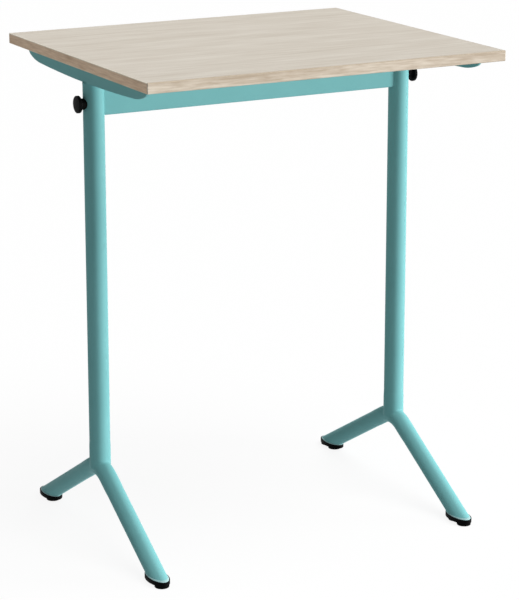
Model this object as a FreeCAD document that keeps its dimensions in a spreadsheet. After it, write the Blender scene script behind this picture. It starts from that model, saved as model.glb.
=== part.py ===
import FreeCAD, Part
import math
import os
import Sketcher
from FreeCAD import Placement, Rotation, Vector

# Standing desk: a laminated board on two tube columns, each standing on a bent leg bow.
# Frame: origin on the floor under the middle of the board, +X to the right, +Y to the back, +Z up.
# Millimetres and degrees. Every driving size is a cell of the sheet called Sizes.

SIZES = (
    # The board
    ("desk_height", 900, "floor to the top of the board"),
    ("board_width", 700, "board from left to right"),
    ("board_depth", 600, "board from front to back"),
    ("board_thickness", 19, "board with both its laminates"),
    ("laminate_thickness", 0.8, "top laminate, and the balancing laminate below"),
    ("band_thickness", 2, "edge band"),
    ("band_round", 1.5, "rounding of the outer edges of an edge band"),
    ("band_round_limit_share", 0.75, "most of the band's thickness that its rounding may take"),
    # The bearers under the board
    ("bearer_thickness", 4, "plate of the bearer's web and flange"),
    ("bearer_inset", 3, "outside of the upright to the outer face of the web"),
    ("bearer_setback", 42, "edge of the board to the end of the web"),
    ("bearer_depth", 29, "depth of the web at the upright"),
    ("bearer_belly", 4.8, "how much deeper the web is at the upright than at its shoulders"),
    ("bearer_end_run", 55, "length of the rounded end of the web"),
    ("bearer_shoulder_radius", 133, "long arc of the rounded end"),
    ("bearer_tip_radius", 21, "short arc of the rounded end"),
    ("bearer_knee_run_share", 0.78, "first guess of where the two end arcs meet, along the end"),
    ("bearer_knee_rise_share", 0.37, "first guess of where the two end arcs meet, up the end"),
    ("flange_width", 45, "flange under the board, with the web"),
    ("flange_setback", 18, "end of the web to the end of the flange"),
    ("flange_corner_radius", 12, "inner corners of the flange"),
    # The screws that hold the board
    ("screw_diameter", 4.5, "shank of a board screw"),
    ("screw_bite", 11, "length of the shank in the board"),
    ("screw_head_diameter", 9, "head of a board screw"),
    ("screw_head_height", 2.6, "head of a board screw"),
    ("screw_drive_diameter", 3, "recess in the screw's head"),
    ("screw_drive_depth", 1.4, "recess in the screw's head"),
    ("screw_inner_offset", 70, "upright's axis to the nearer screw"),
    ("screw_end_margin", 35, "end of the flange to the farther screw"),
    ("screw_gap", 0.2, "screw shank to the hole in the flange"),
    ("pilot_spare", 1, "pilot hole beyond the screw's tip"),
    # The uprights
    ("upright_diameter", 38, "upright tube"),
    ("upright_wall", 2, "upright tube"),
    ("upright_inset", 36.5, "side edge of the board to the upright's axis"),
    # The leg bows
    ("leg_diameter", 32, "leg tube"),
    ("leg_wall", 2, "leg tube"),
    ("leg_angle", 30, "leg to the floor, in degrees"),
    ("bow_height", 150, "floor to where the two leg axes would cross"),
    ("bend_radius", 70, "bend of the leg tube's axis under the upright"),
    # The cross rail
    ("rail_height", 50, "rail tube"),
    ("rail_depth", 20, "rail tube from front to back"),
    ("rail_wall", 2, "rail tube"),
    ("rail_corner_radius", 4, "outer corners of the rail tube"),
    ("rail_inner_corner_share", 0.25, "least inner corner radius, of the rail's wall"),
    ("rail_drop", 38.5, "underside of the board to the top of the rail"),
    # The threaded insert in each end of the rail
    ("insert_length", 24, "insert along the rail"),
    ("insert_setback", 1, "face of the upright to the insert"),
    ("insert_gap", 0.1, "insert to the inside of the rail"),
    # The bag hooks and their studs
    ("hook_rise", 22, "underside of the rail to the hook's axis"),
    ("hook_length", 15, "face of the upright to the outer face of the hook"),
    ("hook_head_diameter", 31, "head of the hook"),
    ("hook_head_thickness", 7, "head of the hook with its dome"),
    ("hook_dome", 1, "rise of the head's outer face"),
    ("hook_rim_round", 1.5, "rounding of the head's rim"),
    ("hook_rim_round_limit_share", 0.4, "most of the rim's thickness that a rounding may take"),
    ("hook_neck_diameter", 20, "neck of the hook, from the upright to the head"),
    ("hook_face_wall", 2, "moulding over the stud's head"),
    ("stud_diameter", 8, "stud through the upright"),
    ("stud_head_diameter", 14, "stud's head, moulded into the hook"),
    ("stud_head_thickness", 3.5, "stud's head, moulded into the hook"),
    ("stud_gap", 0.3, "stud to the holes in the upright"),
    # The feet
    ("foot_height", 12.5, "floor to the level cut of the leg tube"),
    ("foot_proud", 2.5, "foot cap beyond the tube all round"),
    ("foot_edge_round", 0.6, "lower edge of the foot cap"),
    ("plug_length", 30, "plug of the foot cap inside the tube"),
    ("plug_gap", 0.1, "plug to the inside of the tube"),
    ("pad_diameter", 26, "glide pad"),
    ("pad_height", 5.5, "glide pad under the foot cap"),
    ("pad_round", 0.9, "lower edge of a glide pad"),
    ("pad_spacing", 29, "between the two pads of a foot"),
    ("pad_shift", 4, "middle of the foot cap to the middle of its pads, outwards"),
    ("peg_diameter", 6, "peg of a glide pad in the foot cap"),
    ("peg_length", 4, "peg of a glide pad in the foot cap"),
    # Cuts
    ("overrun", 5, "how far a cutting shape runs past what it cuts"),
)

# Formulas that several pieces share
UNDERSIDE = "(Sizes.desk_height - Sizes.board_thickness)"
LAMINATE_TOP = f"({UNDERSIDE} + Sizes.laminate_thickness)"
CORE_TOP = "(Sizes.desk_height - Sizes.laminate_thickness)"
BOARD_X = "(Sizes.board_width / 2)"
BOARD_Y = "(Sizes.board_depth / 2)"
CORE_X = f"({BOARD_X} - Sizes.band_thickness)"
CORE_Y = f"({BOARD_Y} - Sizes.band_thickness)"
BAND_ROUND = "min(Sizes.band_round; Sizes.band_thickness * Sizes.band_round_limit_share)"

UPRIGHT_X = f"({BOARD_X} - Sizes.upright_inset)"
UPRIGHT_RADIUS = "(Sizes.upright_diameter / 2)"

WEB_OUT = f"({UPRIGHT_RADIUS} - Sizes.bearer_inset)"
WEB_IN = f"({WEB_OUT} - Sizes.bearer_thickness)"
BEARER_END = f"({BOARD_Y} - Sizes.bearer_setback)"
SHOULDER_Y = f"({BEARER_END} - Sizes.bearer_end_run)"
SHOULDER_DEPTH = "(Sizes.bearer_depth - Sizes.bearer_belly)"
BELLY_RADIUS = f"(({SHOULDER_Y}^2 + Sizes.bearer_belly^2) / (2 * Sizes.bearer_belly))"
FLANGE_IN = f"({WEB_OUT} - Sizes.flange_width)"
FLANGE_END = f"({BEARER_END} - Sizes.flange_setback)"
FLANGE_UNDERSIDE = f"({UNDERSIDE} - Sizes.bearer_thickness)"
SCREW_X = f"(({FLANGE_IN} + {WEB_IN}) / 2)"
SCREW_YS = {"inner": "Sizes.screw_inner_offset", "outer": f"({FLANGE_END} - Sizes.screw_end_margin)"}

BOW_TOP = "(Sizes.bow_height - Sizes.bend_radius * (1 / cos(Sizes.leg_angle) - 1))"
LEG_END = "(Sizes.foot_height - Sizes.leg_diameter)"
LEG_REACH = f"((Sizes.bow_height - {LEG_END}) / tan(Sizes.leg_angle))"
FOOT_REACH = "((Sizes.bow_height - Sizes.foot_height) / tan(Sizes.leg_angle))"

RAIL_TOP = f"({UNDERSIDE} - Sizes.rail_drop)"
RAIL_BOTTOM = f"({RAIL_TOP} - Sizes.rail_height)"
RAIL_MIDDLE = f"({RAIL_TOP} - Sizes.rail_height / 2)"
RAIL_INNER_CORNER = (
    "max(Sizes.rail_corner_radius - Sizes.rail_wall; Sizes.rail_wall * Sizes.rail_inner_corner_share)"
)
INSERT_OUT = f"({UPRIGHT_RADIUS} + Sizes.insert_setback)"
INSERT_IN = f"({INSERT_OUT} + Sizes.insert_length)"
INSERT_HALF_DEPTH = "(Sizes.rail_depth / 2 - Sizes.rail_wall - Sizes.insert_gap)"
INSERT_HALF_HEIGHT = "(Sizes.rail_height / 2 - Sizes.rail_wall - Sizes.insert_gap)"

HOOK_AXIS = f"({RAIL_BOTTOM} + Sizes.hook_rise)"
HOOK_FACE = f"({UPRIGHT_RADIUS} + Sizes.hook_length)"
HOOK_RIM = f"({HOOK_FACE} - Sizes.hook_dome)"
HOOK_HEAD_BACK = f"({HOOK_FACE} - Sizes.hook_head_thickness)"
HOOK_HEAD_RADIUS = "(Sizes.hook_head_diameter / 2)"
HOOK_NECK_RADIUS = "(Sizes.hook_neck_diameter / 2)"
HOOK_START = f"(sqrt({UPRIGHT_RADIUS}^2 - {HOOK_NECK_RADIUS}^2) - Sizes.overrun)"
HOOK_DOME_RADIUS = f"({HOOK_HEAD_RADIUS}^2 + Sizes.hook_dome^2) / (2 * Sizes.hook_dome)"
HOOK_RIM_ROUND = (
    "min(Sizes.hook_rim_round;"
    " (Sizes.hook_head_thickness - Sizes.hook_dome) * Sizes.hook_rim_round_limit_share)"
)
STUD_END = f"({HOOK_RIM} - Sizes.hook_face_wall)"
STUD_HEAD_BACK = f"({STUD_END} - Sizes.stud_head_thickness)"

OVAL_LENGTH = "(Sizes.leg_diameter / sin(Sizes.leg_angle) + 2 * Sizes.foot_proud)"
OVAL_WIDTH = "(Sizes.leg_diameter + 2 * Sizes.foot_proud)"
PAD_YS = {
    "toe": "(-Sizes.pad_shift - Sizes.pad_spacing / 2)",
    "heel": "(-Sizes.pad_shift + Sizes.pad_spacing / 2)",
}

QUARTER_TURN = 90
HALF_TURN = 180
FULL_TURN = 360
SAME_PLACE = 1e-4
CUBIC_MM_IN_CM = 1000

doc = FreeCAD.newDocument("standing_desk")
sheet = doc.addObject("Spreadsheet::Sheet", "Sizes")
for row, (alias, value, note) in enumerate(SIZES, start=1):
    sheet.set(f"A{row}", note)
    sheet.set(f"B{row}", str(value))
    sheet.setAlias(f"B{row}", alias)
doc.recompute()

pieces = []


# Helpers for bodies, sketches and features

def new_body(node, listed=True):
    body = doc.addObject("PartDesign::Body", node)
    body.Label = node
    if listed:
        pieces.append(body)
    return body


def plane(body, role):
    return next(feature for feature in body.Origin.OriginFeatures if feature.Role == role)


def value_of(formula):
    """The number that a formula gives now."""
    return float(sheet.evalExpression(formula))


def same(first, second):
    return math.isclose(first, second, abs_tol=SAME_PLACE)


def sketch_on(body, role, name, offset=None):
    """A sketch on one of the body's origin planes, moved by formulas in the sketch's own axes."""
    sketch = body.newObject("Sketcher::SketchObject", name)
    sketch.AttachmentSupport = (plane(body, role), [""])
    sketch.MapMode = "FlatFace"
    for axis, formula in (offset or {}).items():
        sketch.setExpression(f"AttachmentOffset.Base.{axis}", formula)
    return sketch


def tie(sketch, kind, *points):
    sketch.addConstraint(Sketcher.Constraint(kind, *points))


def dimension(sketch, name, formula, kind, *points):
    """A named constraint that is bound to a formula."""
    index = sketch.addConstraint(Sketcher.Constraint(kind, *points, value_of(formula)))
    sketch.renameConstraint(index, name)
    sketch.setExpression(f"Constraints.{name}", formula)


def circle(sketch, name, diameter, height=None):
    """A circle on the sketch's vertical axis, at its origin unless a height is given."""
    centre = Vector(0, value_of(height) if height else 0, 0)
    index = sketch.addGeometry(Part.Circle(centre, Vector(0, 0, 1), value_of(diameter) / 2))
    if height:
        tie(sketch, "PointOnObject", index, 3, -2)
        dimension(sketch, f"{name}_height", height, "DistanceY", -1, 1, index, 3)
    else:
        tie(sketch, "Coincident", index, 3, -1, 1)
    dimension(sketch, f"{name}_diameter", diameter, "Diameter", index)


def left_arc(start, end, radius):
    """The short arc from start to end that turns left, as the first draft of a sketch."""
    chord = end - start
    inward = Vector(-chord.y, chord.x, 0).normalize()
    centre = (start + end) / 2 + inward * math.sqrt(radius ** 2 - chord.Length ** 2 / 4)
    first, last = (math.atan2(point.y - centre.y, point.x - centre.x) for point in (start, end))
    return Part.ArcOfCircle(Part.Circle(centre, Vector(0, 0, 1), radius), first, last)


def pad(body, sketch, name, length):
    feature = body.newObject("PartDesign::Pad", name)
    feature.Profile = sketch
    feature.setExpression("Length", length)
    return feature


def block(body, kind, name, low, high):
    """A box between two corners. kind is Additive or Subtractive."""
    feature = body.newObject(f"PartDesign::{kind}Box", name)
    for side, axis, start, end in zip(("Length", "Width", "Height"), "xyz", low, high):
        feature.setExpression(f"Placement.Base.{axis}", start)
        feature.setExpression(side, f"({end}) - ({start})")
    return feature


def rod(body, kind, name, along, start, diameter, length):
    """A cylinder from a start point along +X or +Z. kind is Additive or Subtractive."""
    feature = body.newObject(f"PartDesign::{kind}Cylinder", name)
    if along == "X":
        feature.Placement = Placement(Vector(), Rotation(Vector(0, 0, 1), Vector(1, 0, 0)))
    for axis, formula in zip("xyz", start):
        feature.setExpression(f"Placement.Base.{axis}", formula)
    feature.setExpression("Radius", f"({diameter}) / 2")
    feature.setExpression("Height", length)
    return feature


def mirror(body, feature, role):
    copy = body.newObject("PartDesign::Mirrored", f"{feature.Name}_mirrored")
    copy.Originals = [feature]
    copy.MirrorPlane = (plane(body, role), [""])
    body.Tip = copy
    return copy


def fillet(body, feature, name, radius, wanted):
    """Round the edges of a feature whose bounding boxes pass the test called wanted."""
    doc.recompute()
    edges = [f"Edge{n}" for n, edge in enumerate(feature.Shape.Edges, start=1) if wanted(edge.BoundBox)]
    rounding = body.newObject("PartDesign::Fillet", name)
    rounding.Base = (feature, edges)
    rounding.setExpression("Radius", radius)
    return rounding


def stand_on_side(body, side):
    """Put a piece that is drawn about an upright's axis, +X outwards, on its side of the desk."""
    if side == "left":
        body.Placement = Placement(Vector(), Rotation(Vector(0, 0, 1), HALF_TURN))
    body.setExpression("Placement.Base.x", UPRIGHT_X if side == "right" else f"-{UPRIGHT_X}")


def stand_on_foot(body, side, end):
    """Put a piece that is drawn about a foot's middle, +Y to the desk's middle, under its leg."""
    if end == "rear":
        body.Placement = Placement(Vector(), Rotation(Vector(0, 0, 1), HALF_TURN))
    body.setExpression("Placement.Base.x", UPRIGHT_X if side == "right" else f"-{UPRIGHT_X}")
    body.setExpression("Placement.Base.y", FOOT_REACH if end == "rear" else f"-{FOOT_REACH}")


# The board: core, two laminates and four edge bands

def board_layer(node, low, high, drilled_to=None):
    """A flat layer of the board, drilled from below for the bearers' screws."""
    body = new_body(node)
    block(body, "Additive", f"{node}_sheet", (f"-{CORE_X}", f"-{CORE_Y}", low), (CORE_X, CORE_Y, high))
    if drilled_to is None:
        return
    for x in (f"({UPRIGHT_X} + {SCREW_X})", f"-({UPRIGHT_X} + {SCREW_X})"):
        for offset in SCREW_YS.values():
            for y in (offset, f"-{offset}"):
                start = (x, y, f"{low} - Sizes.overrun")
                depth = f"{drilled_to} - {low} + Sizes.overrun"
                rod(body, "Subtractive", f"{node}_hole", "Z", start, "Sizes.screw_diameter", depth)


def long_band(node, low_y, high_y, outer_y):
    """Edge band along the front or the rear, over the full width, rounded on its outer edges and ends."""
    body = new_body(node)
    strip = block(body, "Additive", f"{node}_strip", (f"-{BOARD_X}", low_y, UNDERSIDE),
                  (BOARD_X, high_y, "Sizes.desk_height"))
    face = value_of(outer_y)

    def outer(box):
        on_face = same(box.YMin, face) and same(box.YMax, face)
        across_end = same(box.XLength, 0) and same(box.ZLength, 0)
        return on_face or across_end

    fillet(body, strip, f"{node}_rounding", BAND_ROUND, outer)


def short_band(node, low_x, high_x, outer_x):
    """Edge band along a side, between the front and rear bands."""
    body = new_body(node)
    strip = block(body, "Additive", f"{node}_strip", (low_x, f"-{CORE_Y}", UNDERSIDE),
                  (high_x, CORE_Y, "Sizes.desk_height"))
    face = value_of(outer_x)

    def outer(box):
        return same(box.XMin, face) and same(box.XMax, face) and same(box.ZLength, 0)

    fillet(body, strip, f"{node}_rounding", BAND_ROUND, outer)


# A bearer: a plate on edge with rounded ends, and a flange under the board

def bearer(side):
    body = new_body(f"{side}_bearer")
    outline = sketch_on(body, "YZ_Plane", f"{side}_web_outline", {"y": UNDERSIDE, "z": WEB_IN})
    corner = Vector(0, 0, 0)
    tip = Vector(value_of(BEARER_END), 0, 0)
    belly = Vector(0, -value_of("Sizes.bearer_depth"), 0)
    shoulder = Vector(value_of(SHOULDER_Y), -value_of(SHOULDER_DEPTH), 0)
    knee = shoulder + Vector(
        value_of("Sizes.bearer_end_run * Sizes.bearer_knee_run_share"),
        value_of(f"{SHOULDER_DEPTH} * Sizes.bearer_knee_rise_share"), 0)
    top_edge = outline.addGeometry(Part.LineSegment(corner, tip))
    belly_arc = outline.addGeometry(left_arc(belly, shoulder, value_of(BELLY_RADIUS)))
    long_arc = outline.addGeometry(left_arc(shoulder, knee, value_of("Sizes.bearer_shoulder_radius")))
    tip_arc = outline.addGeometry(left_arc(knee, tip, value_of("Sizes.bearer_tip_radius")))
    middle = outline.addGeometry(Part.LineSegment(belly, corner))
    tie(outline, "Coincident", top_edge, 1, -1, 1)
    tie(outline, "Coincident", middle, 2, -1, 1)
    tie(outline, "Horizontal", top_edge)
    tie(outline, "Vertical", middle)
    tie(outline, "Coincident", belly_arc, 1, middle, 1)
    tie(outline, "PointOnObject", belly_arc, 3, -2)
    tie(outline, "Tangent", belly_arc, 2, long_arc, 1)
    tie(outline, "Tangent", long_arc, 2, tip_arc, 1)
    tie(outline, "Coincident", tip_arc, 2, top_edge, 2)
    dimension(outline, "web_end", BEARER_END, "DistanceX", -1, 1, top_edge, 2)
    dimension(outline, "web_depth", "-Sizes.bearer_depth", "DistanceY", -1, 1, middle, 1)
    dimension(outline, "shoulder_run", SHOULDER_Y, "DistanceX", -1, 1, belly_arc, 2)
    dimension(outline, "shoulder_depth", f"-{SHOULDER_DEPTH}", "DistanceY", -1, 1, belly_arc, 2)
    dimension(outline, "shoulder_radius", "Sizes.bearer_shoulder_radius", "Radius", long_arc)
    dimension(outline, "tip_radius", "Sizes.bearer_tip_radius", "Radius", tip_arc)
    half_web = pad(body, outline, f"{side}_half_web", "Sizes.bearer_thickness")
    mirror(body, half_web, "XZ_Plane")

    flange = block(body, "Additive", f"{side}_flange", (FLANGE_IN, f"-{FLANGE_END}", FLANGE_UNDERSIDE),
                   (WEB_OUT, FLANGE_END, UNDERSIDE))
    inner_edge = value_of(FLANGE_IN)

    def inner_corner(box):
        return same(box.XMin, inner_edge) and same(box.XMax, inner_edge) and same(box.YLength, 0)

    fillet(body, flange, f"{side}_flange_corners", "Sizes.flange_corner_radius", inner_corner)
    for offset in SCREW_YS.values():
        for y in (offset, f"-{offset}"):
            start = (SCREW_X, y, f"{FLANGE_UNDERSIDE} - Sizes.overrun")
            hole = "Sizes.screw_diameter + 2 * Sizes.screw_gap"
            rod(body, "Subtractive", f"{side}_flange_hole", "Z", start, hole,
                "Sizes.bearer_thickness + 2 * Sizes.overrun")
    stand_on_side(body, side)


def board_screws(side):
    """The four screws of one bearer, as one group of separate solids."""
    screws = []
    for rank, offset in SCREW_YS.items():
        for end, y in (("front", f"-{offset}"), ("rear", offset)):
            body = new_body(f"{side}_{end}_{rank}_screw", listed=False)
            head_base = f"{FLANGE_UNDERSIDE} - Sizes.screw_head_height"
            rod(body, "Additive", "shank", "Z", (SCREW_X, y, FLANGE_UNDERSIDE), "Sizes.screw_diameter",
                "Sizes.bearer_thickness + Sizes.screw_bite")
            rod(body, "Additive", "head", "Z", (SCREW_X, y, head_base), "Sizes.screw_head_diameter",
                "Sizes.screw_head_height")
            rod(body, "Subtractive", "drive", "Z", (SCREW_X, y, f"{head_base} - Sizes.overrun"),
                "Sizes.screw_drive_diameter", "Sizes.screw_drive_depth + Sizes.overrun")
            stand_on_side(body, side)
            screws.append(body)
    group = doc.addObject("Part::Compound", f"{side}_board_screws")
    group.Label = f"{side}_board_screws"
    group.Links = screws
    pieces.append(group)


# A leg bow: one tube bent into a front leg and a rear leg

def bow_pipe(body, side, kind, diameters):
    """The bow's tube, drawn as its front half and mirrored. kind is Additive or Subtractive."""
    section = sketch_on(body, "XZ_Plane", f"{side}_{kind}_tube_section")
    for rank, diameter in enumerate(diameters):
        circle(section, f"ring_{rank}", diameter, BOW_TOP)
    path = sketch_on(body, "YZ_Plane", f"{side}_{kind}_bow_path")
    radius = value_of("Sizes.bend_radius")
    turn = math.radians(value_of("Sizes.leg_angle"))
    top = value_of(BOW_TOP)
    bend_circle = Part.Circle(Vector(0, top - radius, 0), Vector(0, 0, 1), radius)
    bend = path.addGeometry(Part.ArcOfCircle(bend_circle, math.pi / 2, math.pi / 2 + turn))
    knee = Vector(-radius * math.sin(turn), top - radius + radius * math.cos(turn), 0)
    leg = path.addGeometry(Part.LineSegment(knee, Vector(-value_of(LEG_REACH), value_of(LEG_END), 0)))
    tie(path, "PointOnObject", bend, 3, -2)
    tie(path, "PointOnObject", bend, 1, -2)
    tie(path, "Tangent", bend, 2, leg, 1)
    dimension(path, "bow_top", BOW_TOP, "DistanceY", -1, 1, bend, 1)
    dimension(path, "bend_radius", "Sizes.bend_radius", "Radius", bend)
    dimension(path, "leg_reach", f"-{LEG_REACH}", "DistanceX", -1, 1, leg, 2)
    dimension(path, "leg_end", LEG_END, "DistanceY", -1, 1, leg, 2)
    pipe = body.newObject(f"PartDesign::{kind}Pipe", f"{side}_{kind}_half_bow")
    pipe.Profile = section
    pipe.Spine = (path, ["Edge1", "Edge2"])
    return mirror(body, pipe, "XZ_Plane")


def leg_bow(side):
    body = new_body(f"{side}_leg_bow")
    bow_pipe(body, side, "Additive", ("Sizes.leg_diameter", "Sizes.leg_diameter - 2 * Sizes.leg_wall"))
    block(body, "Subtractive", f"{side}_level_cut",
          ("-Sizes.leg_diameter", f"-({LEG_REACH} + Sizes.leg_diameter)", f"{LEG_END} - Sizes.leg_diameter"),
          ("Sizes.leg_diameter", f"{LEG_REACH} + Sizes.leg_diameter", "Sizes.foot_height"))
    stand_on_side(body, side)


# An upright: a tube saddled on its bow and notched at the top, on its outer side, for its bearer

def upright(side):
    body = new_body(f"{side}_upright")
    ring = sketch_on(body, "XY_Plane", f"{side}_upright_ring", {"z": BOW_TOP})
    circle(ring, "outside", "Sizes.upright_diameter")
    circle(ring, "inside", "Sizes.upright_diameter - 2 * Sizes.upright_wall")
    pad(body, ring, f"{side}_upright_tube", f"{UNDERSIDE} - {BOW_TOP}")
    bow_pipe(body, side, "Subtractive", ("Sizes.leg_diameter",))
    past_tube = "Sizes.upright_diameter"
    block(body, "Subtractive", f"{side}_web_notch",
          (WEB_IN, f"-{past_tube}", f"{UNDERSIDE} - Sizes.bearer_depth"),
          (past_tube, past_tube, f"{UNDERSIDE} + Sizes.overrun"))
    block(body, "Subtractive", f"{side}_flange_seat", (FLANGE_IN, f"-{past_tube}", FLANGE_UNDERSIDE),
          (WEB_OUT, past_tube, f"{UNDERSIDE} + Sizes.overrun"))
    rod(body, "Subtractive", f"{side}_stud_hole", "X", (f"-{past_tube}", "0", HOOK_AXIS),
        "Sizes.stud_diameter + 2 * Sizes.stud_gap", f"2 * {past_tube}")
    stand_on_side(body, side)


# The cross rail, coped to the uprights, and the threaded insert in each of its ends

def along_x(box):
    return same(box.YLength, 0) and same(box.ZLength, 0)


def cross_rail():
    body = new_body("cross_rail")
    bar = block(body, "Additive", "rail_bar", (f"-{UPRIGHT_X}", "-Sizes.rail_depth / 2", RAIL_BOTTOM),
                (UPRIGHT_X, "Sizes.rail_depth / 2", RAIL_TOP))
    fillet(body, bar, "rail_outer_corners", "Sizes.rail_corner_radius", along_x)
    hollow = block(body, "Subtractive", "rail_hollow",
                   (f"-{UPRIGHT_X} - Sizes.overrun", "-Sizes.rail_depth / 2 + Sizes.rail_wall",
                    f"{RAIL_BOTTOM} + Sizes.rail_wall"),
                   (f"{UPRIGHT_X} + Sizes.overrun", "Sizes.rail_depth / 2 - Sizes.rail_wall",
                    f"{RAIL_TOP} - Sizes.rail_wall"))
    inner_face = value_of("Sizes.rail_depth / 2 - Sizes.rail_wall")

    def inner_corner(box):
        return along_x(box) and same(abs(box.YMin), inner_face)

    fillet(body, hollow, "rail_inner_corners", RAIL_INNER_CORNER, inner_corner)
    for x in (UPRIGHT_X, f"-{UPRIGHT_X}"):
        rod(body, "Subtractive", "rail_cope", "Z", (x, "0", f"{RAIL_BOTTOM} - Sizes.overrun"),
            "Sizes.upright_diameter", "Sizes.rail_height + 2 * Sizes.overrun")


def rail_insert(side):
    body = new_body(f"{side}_rail_insert")
    bar = block(body, "Additive", f"{side}_insert_block",
                (f"-{INSERT_IN}", f"-{INSERT_HALF_DEPTH}", f"{RAIL_MIDDLE} - {INSERT_HALF_HEIGHT}"),
                (f"-{INSERT_OUT}", INSERT_HALF_DEPTH, f"{RAIL_MIDDLE} + {INSERT_HALF_HEIGHT}"))
    fillet(body, bar, f"{side}_insert_corners", RAIL_INNER_CORNER, along_x)
    rod(body, "Subtractive", f"{side}_insert_thread", "X",
        (f"-{INSERT_IN} - Sizes.overrun", "0", HOOK_AXIS), "Sizes.stud_diameter",
        "Sizes.insert_length + 2 * Sizes.overrun")
    stand_on_side(body, side)


# A bag hook: a turned mushroom shape moulded on the head of its stud

def bag_hook(side):
    body = new_body(f"{side}_bag_hook")
    outline = sketch_on(body, "XZ_Plane", f"{side}_hook_outline", {"y": HOOK_AXIS})
    start, head_back = value_of(HOOK_START), value_of(HOOK_HEAD_BACK)
    rim, face = value_of(HOOK_RIM), value_of(HOOK_FACE)
    neck, head = value_of(HOOK_NECK_RADIUS), value_of(HOOK_HEAD_RADIUS)
    foot_axis, foot_edge, neck_end = Vector(start, 0), Vector(start, neck), Vector(head_back, neck)
    back_edge, rim_edge, face_axis = Vector(head_back, head), Vector(rim, head), Vector(face, 0)
    foot_line = outline.addGeometry(Part.LineSegment(foot_axis, foot_edge))
    neck_line = outline.addGeometry(Part.LineSegment(foot_edge, neck_end))
    back_line = outline.addGeometry(Part.LineSegment(neck_end, back_edge))
    rim_line = outline.addGeometry(Part.LineSegment(back_edge, rim_edge))
    dome = outline.addGeometry(left_arc(face_axis, rim_edge, value_of(HOOK_DOME_RADIUS)))
    axis_line = outline.addGeometry(Part.LineSegment(face_axis, foot_axis))
    tie(outline, "Coincident", foot_line, 2, neck_line, 1)
    tie(outline, "Coincident", neck_line, 2, back_line, 1)
    tie(outline, "Coincident", back_line, 2, rim_line, 1)
    tie(outline, "Coincident", rim_line, 2, dome, 2)
    tie(outline, "Coincident", dome, 1, axis_line, 1)
    tie(outline, "Coincident", axis_line, 2, foot_line, 1)
    tie(outline, "PointOnObject", foot_line, 1, -1)
    tie(outline, "PointOnObject", dome, 1, -1)
    tie(outline, "PointOnObject", dome, 3, -1)
    for upright_line in (foot_line, back_line):
        tie(outline, "Vertical", upright_line)
    for level_line in (neck_line, rim_line):
        tie(outline, "Horizontal", level_line)
    dimension(outline, "hook_start", HOOK_START, "DistanceX", -1, 1, foot_line, 1)
    dimension(outline, "neck_radius", HOOK_NECK_RADIUS, "DistanceY", -1, 1, foot_line, 2)
    dimension(outline, "head_back", HOOK_HEAD_BACK, "DistanceX", -1, 1, back_line, 1)
    dimension(outline, "head_radius", HOOK_HEAD_RADIUS, "DistanceY", -1, 1, back_line, 2)
    dimension(outline, "rim", HOOK_RIM, "DistanceX", -1, 1, rim_line, 2)
    dimension(outline, "face", HOOK_FACE, "DistanceX", -1, 1, dome, 1)
    turned = body.newObject("PartDesign::Revolution", f"{side}_hook_turned")
    turned.Profile = outline
    turned.ReferenceAxis = (outline, ["H_Axis"])
    turned.Angle = FULL_TURN
    head_diameter = value_of("Sizes.hook_head_diameter")

    def rim_edges(box):
        return same(box.YLength, head_diameter) and same(box.XLength, 0)

    fillet(body, turned, f"{side}_hook_rim", HOOK_RIM_ROUND, rim_edges)
    rod(body, "Subtractive", f"{side}_hook_saddle", "Z",
        ("0", "0", f"{HOOK_AXIS} - Sizes.hook_head_diameter"), "Sizes.upright_diameter",
        "2 * Sizes.hook_head_diameter")
    rod(body, "Subtractive", f"{side}_hook_bore", "X", ("0", "0", HOOK_AXIS), "Sizes.stud_diameter",
        STUD_END)
    rod(body, "Subtractive", f"{side}_hook_recess", "X", (STUD_HEAD_BACK, "0", HOOK_AXIS),
        "Sizes.stud_head_diameter", "Sizes.stud_head_thickness")
    stand_on_side(body, side)


def hook_stud(side):
    body = new_body(f"{side}_hook_stud")
    rod(body, "Additive", f"{side}_stud_shank", "X", (f"-{INSERT_IN}", "0", HOOK_AXIS),
        "Sizes.stud_diameter", f"{STUD_END} + {INSERT_IN}")
    rod(body, "Additive", f"{side}_stud_head", "X", (STUD_HEAD_BACK, "0", HOOK_AXIS),
        "Sizes.stud_head_diameter", "Sizes.stud_head_thickness")
    stand_on_side(body, side)


# A foot: an oval cap plugged into the level-cut tube, and two glide pads pegged into it

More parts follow.
